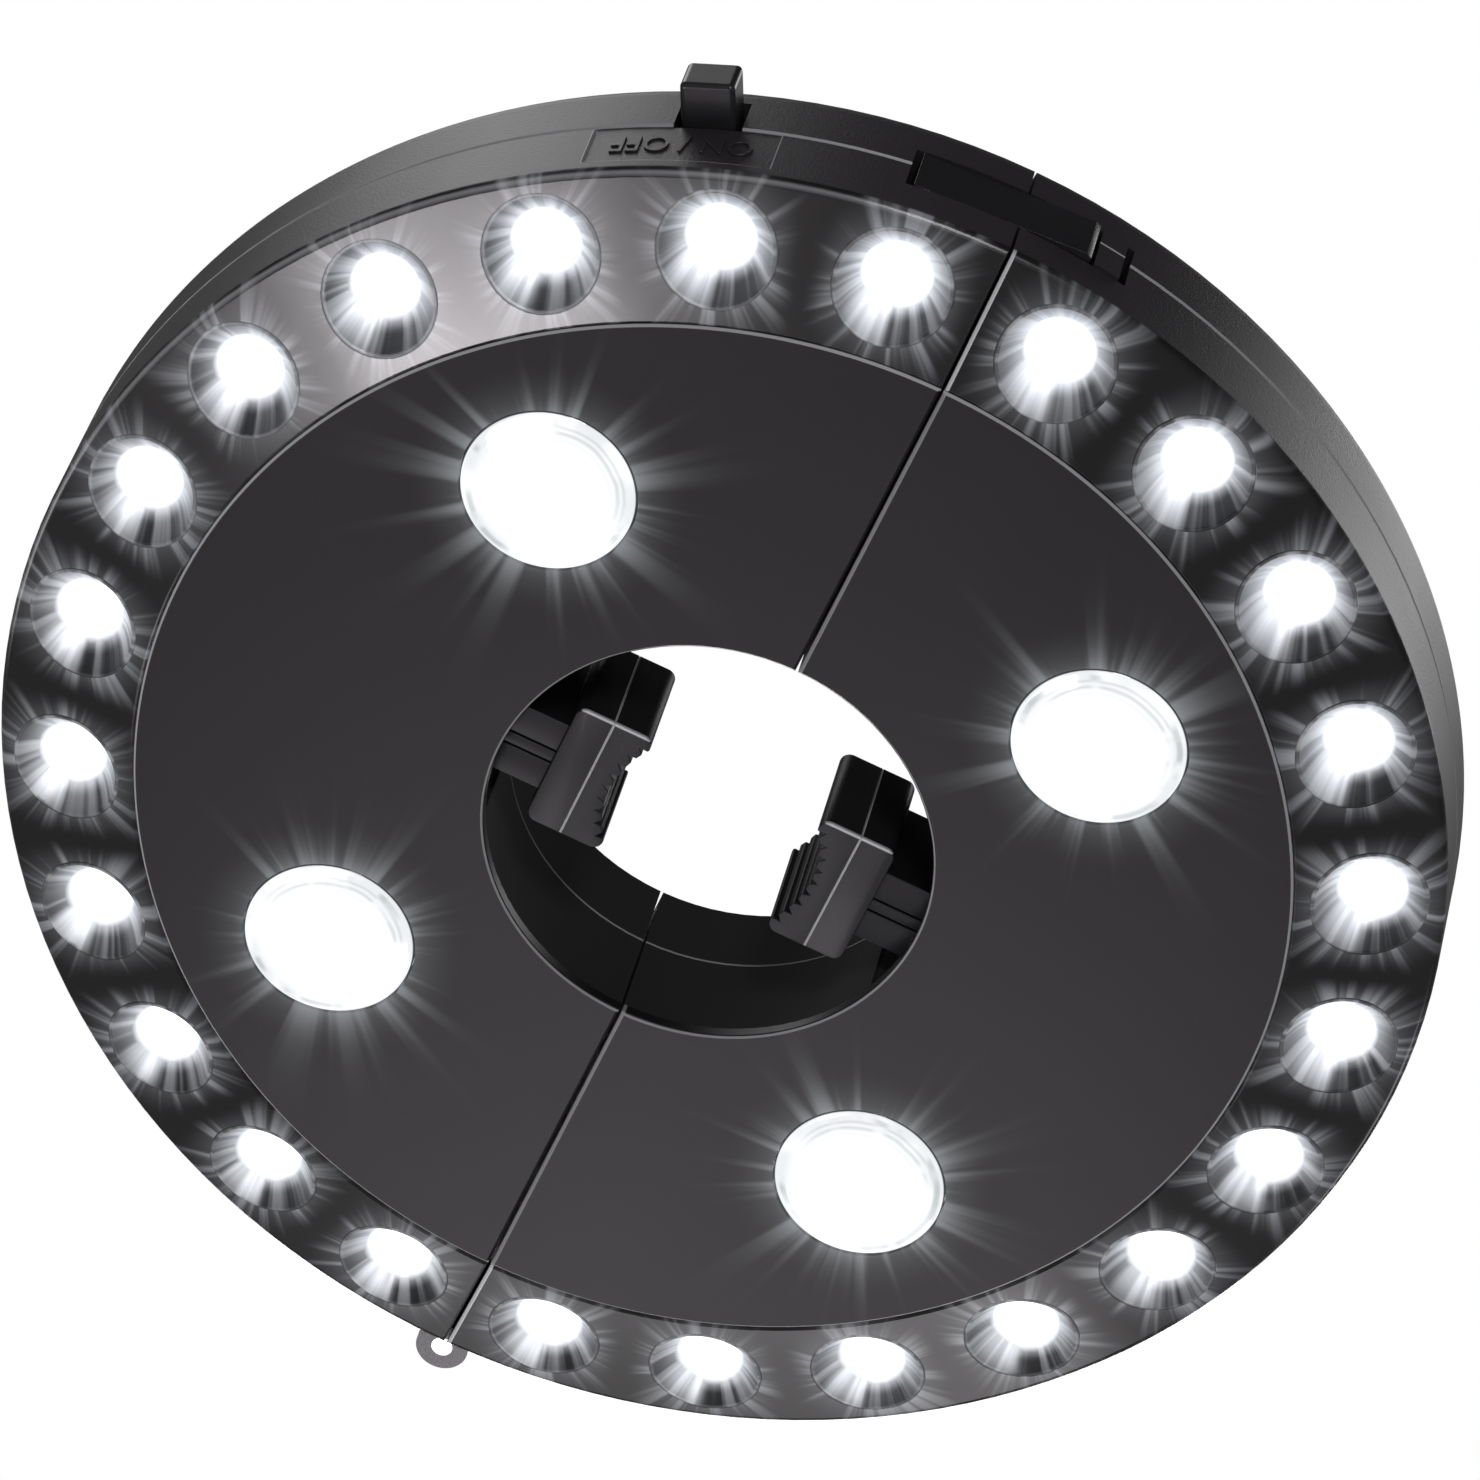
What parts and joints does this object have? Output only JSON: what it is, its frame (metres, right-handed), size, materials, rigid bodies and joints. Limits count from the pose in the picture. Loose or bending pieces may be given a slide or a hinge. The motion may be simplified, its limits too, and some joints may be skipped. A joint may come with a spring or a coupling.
{
  "type": "patio umbrella light",
  "caption": "Battery lamp in two hinged half discs that closes round an umbrella pole, with a sloped band of small lamps, lensed spots, sprung jaws, a latch lever and a push button.",
  "frame": {"origin": "on the pole's axis, halfway up the jaws", "axes": "+Z along the pole, away from the lit face, +X from the half with the catch towards the half with the button, +Y from the hinge towards the latch"},
  "size_m": [0.2, 0.2064, 0.0323],
  "materials": {
    "shell": "satin with a fine moulded grain",
    "face": "smooth satin",
    "reflector": "bright metallised plastic",
    "diode": "clear epoxy dome, lit",
    "board": "solder mask",
    "lens": "clear and glossy",
    "pad": "matte",
    "carrier": "satin",
    "spring_steel": "drawn wire",
    "door": "satin",
    "cell": "satin sleeve",
    "contact": "nickel plated",
    "screw": "zinc plated",
    "pin": "ground",
    "gloss_black": "glossy",
    "switch": "moulded",
    "plunger": "moulded"
  },
  "bodies": {
    "half_a": {"bottom_shell_a": "shell", "top_shell_a": "shell", "face_plate_a": "face", "reflector_ring_a": "reflector", "ring_leds_a": "diode", "led_board_a": "board", "spot_lenses_a": "lens", "spot_reflectors_a": "reflector", "spot_leds_a": "diode", "jaw_spring_a": "spring_steel", "battery_cells_a": "cell", "contact_plates_a": "contact", "contact_springs_a": "spring_steel", "shell_screws_a": "screw", "hinge_pin": "pin", "latch_pin": "pin", "latch_spring": "spring_steel", "switch_body": "switch", "driver_board": "board"},
    "half_b": {"bottom_shell_b": "shell", "top_shell_b": "shell", "face_plate_b": "face", "reflector_ring_b": "reflector", "ring_leds_b": "diode", "led_board_b": "board", "spot_lenses_b": "lens", "spot_reflectors_b": "reflector", "spot_leds_b": "diode", "jaw_spring_b": "spring_steel", "battery_cells_b": "cell", "contact_plates_b": "contact", "contact_springs_b": "spring_steel", "shell_screws_b": "screw"},
    "jaw_a": {"jaw_carrier_a": "carrier", "jaw_pad_a": "pad"},
    "jaw_b": {"jaw_carrier_b": "carrier", "jaw_pad_b": "pad"},
    "door_a": {"battery_door_a": "door"},
    "door_b": {"battery_door_b": "door"},
    "latch": {"latch_lever": "gloss_black"},
    "button": {"button_cap": "gloss_black", "switch_plunger": "plunger"}
  },
  "joints": [
    {"name": "half_swing", "type": "hinge", "parent": "half_a", "child": "half_b", "pos_m": [0, -0.102, 0], "axis": [0, 0, 1], "range_deg": [0, 90]},
    {"name": "jaw_a_slide", "type": "slide", "parent": "half_a", "child": "jaw_a", "axis": [1, 0, 0], "range_m": [-0.004, 0.009], "stiffness_N_per_m": 600, "deforming": ["jaw_spring_a"]},
    {"name": "jaw_b_slide", "type": "slide", "parent": "half_b", "child": "jaw_b", "axis": [-1, 0, 0], "range_m": [-0.004, 0.009], "stiffness_N_per_m": 600, "deforming": ["jaw_spring_b"]},
    {"name": "door_a_hinge", "type": "hinge", "parent": "half_a", "child": "door_a", "pos_m": [0.0455, 0, 0.0185], "axis": [0, -1, 0], "range_deg": [0, 80]},
    {"name": "door_b_hinge", "type": "hinge", "parent": "half_b", "child": "door_b", "pos_m": [-0.0455, 0, 0.0185], "axis": [0, 1, 0], "range_deg": [0, 80]},
    {"name": "latch_press", "type": "hinge", "parent": "half_a", "child": "latch", "pos_m": [0.0055, 0.0943, 0], "axis": [0, 0, -1], "range_deg": [0, 10], "stiffness_Nm_per_rad": 0.15, "deforming": ["latch_spring"]},
    {"name": "button_press", "type": "slide", "parent": "half_a", "child": "button", "axis": [-0.4195, -0.9078, 0], "range_m": [0, 0.0015], "stiffness_N_per_m": 1200}
  ]
}
